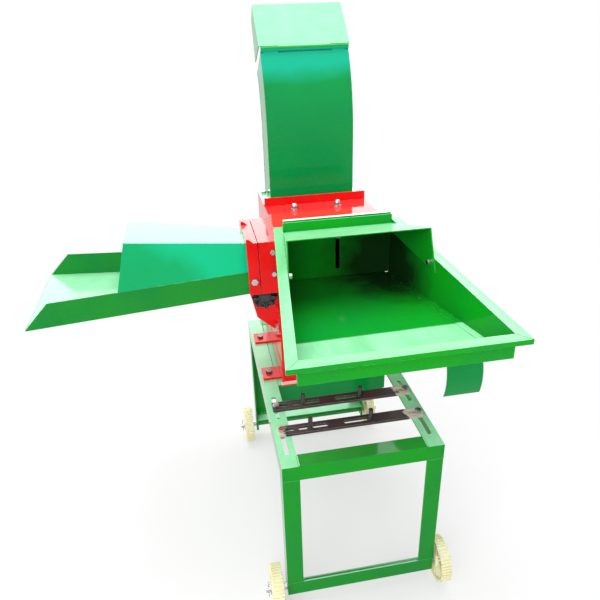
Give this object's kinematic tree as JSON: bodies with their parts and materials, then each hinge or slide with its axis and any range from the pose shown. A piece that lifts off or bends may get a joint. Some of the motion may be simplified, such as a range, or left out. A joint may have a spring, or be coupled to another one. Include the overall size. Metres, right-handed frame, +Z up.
{
  "type": "chaff cutter",
  "caption": "Belt-driven chaff cutter and fodder mill on a wheeled angle-iron stand, with a side straw trough, a front feed tray and a tall rear discharge spout.",
  "frame": {"origin": "middle of the base of the whole object's box, on the floor under the wheels", "axes": "+X to the right seen from the feed tray, +Y to the back where the spout points, +Z up"},
  "size_m": [0.9072, 0.8614, 1.2276],
  "materials": {
    "green_enamel": "gloss",
    "red_enamel": "gloss",
    "zinc_steel": "satin",
    "bare_steel": "satin",
    "black_iron": "satin",
    "cream_plastic": "satin",
    "bronze": "satin"
  },
  "bodies": {
    "base": {"side_rails": "green_enamel", "cross_beams": "green_enamel", "legs": "green_enamel", "foot_beams": "green_enamel", "axle_brackets": "green_enamel", "axles": "zinc_steel", "split_pins": "zinc_steel", "housing_feet": "red_enamel", "left_side_plate": "red_enamel", "right_side_plate": "red_enamel", "front_plate": "red_enamel", "back_plate": "red_enamel", "top_plate": "red_enamel", "cross_bars": "red_enamel", "sieve_screen": "bare_steel", "hinge_pins": "zinc_steel", "hex_bolts": "zinc_steel", "bearing_housings": "black_iron", "bearings": "zinc_steel", "ledger_knife": "bare_steel", "inlet_collar": "red_enamel", "gear_cover": "red_enamel", "roller_cheeks": "red_enamel", "throat_floor": "red_enamel", "pressure_springs": "zinc_steel", "feed_trough": "green_enamel", "trough_cover": "green_enamel", "feed_tray": "green_enamel", "tray_hood": "green_enamel", "discharge_spout": "green_enamel", "belt_guard": "green_enamel", "guard_stays": "zinc_steel", "outlet_chute": "green_enamel"},
    "rotor": {"main_shaft": "zinc_steel", "cutter_disc": "bare_steel", "knives": "bare_steel", "knife_bolts": "bare_steel", "end_disc": "bare_steel", "thrower_paddles": "bare_steel", "drive_pulley": "black_iron", "pulley_key": "zinc_steel", "worm": "bare_steel"},
    "lower_roller": {"lower_feed_roller": "bare_steel", "worm_wheel": "bronze", "lower_roller_gear": "black_iron"},
    "roller_carriage": {"sliding_blocks": "black_iron"},
    "upper_roller": {"upper_feed_roller": "bare_steel", "upper_roller_gear": "black_iron"},
    "lid": {"lid": "red_enamel", "lid_bolts": "zinc_steel"},
    "gate": {"feed_gate": "green_enamel"},
    "flap": {"spout_flap": "green_enamel"},
    "front_bar": {"front_motor_bar": "bare_steel", "front_bar_bolts": "zinc_steel"},
    "rear_bar": {"rear_motor_bar": "bare_steel", "rear_bar_bolts": "zinc_steel"},
    "front_left_wheel": {"wheel_front_left": "cream_plastic"},
    "front_right_wheel": {"wheel_front_right": "cream_plastic"},
    "rear_left_wheel": {"wheel_rear_left": "cream_plastic"},
    "rear_right_wheel": {"wheel_rear_right": "cream_plastic"}
  },
  "joints": [
    {"name": "rotor_spin", "type": "hinge", "parent": "base", "child": "rotor", "pos_m": [0.18745, 0.19931, 0.596], "axis": [1, 0, 0], "continuous": true},
    {"name": "lower_roller_spin", "type": "hinge", "parent": "base", "child": "lower_roller", "pos_m": [0.03595, 0.12531, 0.642], "axis": [0, 1, 0], "continuous": true},
    {"name": "roller_lift", "type": "slide", "parent": "base", "child": "roller_carriage", "axis": [0, 0, 1], "range_m": [0, 0.01], "stiffness_N_per_m": 4000, "springref_m": -0.01, "deforming": ["pressure_springs"]},
    {"name": "upper_roller_spin", "type": "hinge", "parent": "roller_carriage", "child": "upper_roller", "pos_m": [0.03595, 0.12531, 0.686], "axis": [0, 1, 0], "continuous": true},
    {"name": "lid_open", "type": "hinge", "parent": "base", "child": "lid", "pos_m": [0.18745, 0.05531, 0.8013], "axis": [1, 0, 0], "range_deg": [0, 85]},
    {"name": "gate_lift", "type": "slide", "parent": "base", "child": "gate", "axis": [0, 0, 1], "range_m": [0, 0.06]},
    {"name": "flap_tilt", "type": "hinge", "parent": "base", "child": "flap", "pos_m": [0.18745, 0.30949, 1.13647], "axis": [1, 0, 0], "range_deg": [-25, 40]},
    {"name": "front_bar_slide", "type": "slide", "parent": "base", "child": "front_bar", "axis": [0, 1, 0], "range_m": [-0.06, 0.004]},
    {"name": "rear_bar_slide", "type": "slide", "parent": "base", "child": "rear_bar", "axis": [0, 1, 0], "range_m": [-0.032, 0.036]},
    {"name": "front_left_wheel_roll", "type": "hinge", "parent": "base", "child": "front_left_wheel", "pos_m": [-0.00455, -0.22469, 0.052], "axis": [1, 0, 0], "continuous": true},
    {"name": "front_right_wheel_roll", "type": "hinge", "parent": "base", "child": "front_right_wheel", "pos_m": [0.37945, -0.22469, 0.052], "axis": [1, 0, 0], "continuous": true},
    {"name": "rear_left_wheel_roll", "type": "hinge", "parent": "base", "child": "rear_left_wheel", "pos_m": [-0.00455, 0.36731, 0.052], "axis": [1, 0, 0], "continuous": true},
    {"name": "rear_right_wheel_roll", "type": "hinge", "parent": "base", "child": "rear_right_wheel", "pos_m": [0.37945, 0.36731, 0.052], "axis": [1, 0, 0], "continuous": true}
  ],
  "couplings": [
    {"joint": "lower_roller_spin", "follows": "rotor_spin", "ratio": 0.05},
    {"joint": "upper_roller_spin", "follows": "rotor_spin", "ratio": -0.05}
  ]
}
